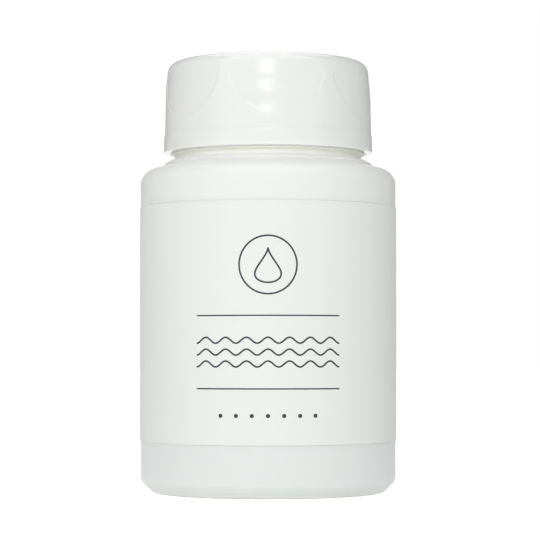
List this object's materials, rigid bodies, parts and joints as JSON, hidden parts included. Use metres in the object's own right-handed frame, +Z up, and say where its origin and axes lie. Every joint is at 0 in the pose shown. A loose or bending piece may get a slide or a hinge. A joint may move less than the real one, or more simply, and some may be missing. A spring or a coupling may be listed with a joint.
{
  "type": "sponge dip jar",
  "caption": "Round wide-mouth plastic jar with a screw cap, wraparound label and a foam insert with a finger hole for wiping off nail varnish.",
  "frame": {"origin": "centre of the jar's base, on the surface that it stands on", "axes": "+Z up along the jar's own axis, -Y is the front that the picture shows, +X to the right seen from the front"},
  "size_m": [0.0502, 0.0503, 0.0841],
  "materials": {
    "jar_hdpe": "white blow-moulded polyethylene, soft satin gloss",
    "label_film": "white self-adhesive film, smooth, slightly warm",
    "cap_pp": "white moulded polypropylene, smooth gloss",
    "liner_foam": "white foamed polyethylene disc, matt",
    "sponge_foam": "open-cell polyurethane foam, pale cream"
  },
  "bodies": {
    "jar": {"jar": "jar_hdpe", "label": "label_film", "sponge": "sponge_foam"},
    "cap_lift": {"cap_liner": "liner_foam"},
    "cap_turn": {"cap": "cap_pp"}
  },
  "joints": [
    {"name": "cap_lift", "type": "slide", "parent": "jar", "child": "cap_lift", "axis": [0, 0, 1], "range_m": [0, 0.018]},
    {"name": "cap_turn", "type": "hinge", "parent": "cap_lift", "child": "cap_turn", "pos_m": [0, 0, 0.0755], "axis": [0, 0, 1], "range_deg": [0, 1530]}
  ],
  "couplings": [
    {"joint": "cap_lift", "follows": "cap_turn", "m_per_rad": 0.0006737}
  ]
}
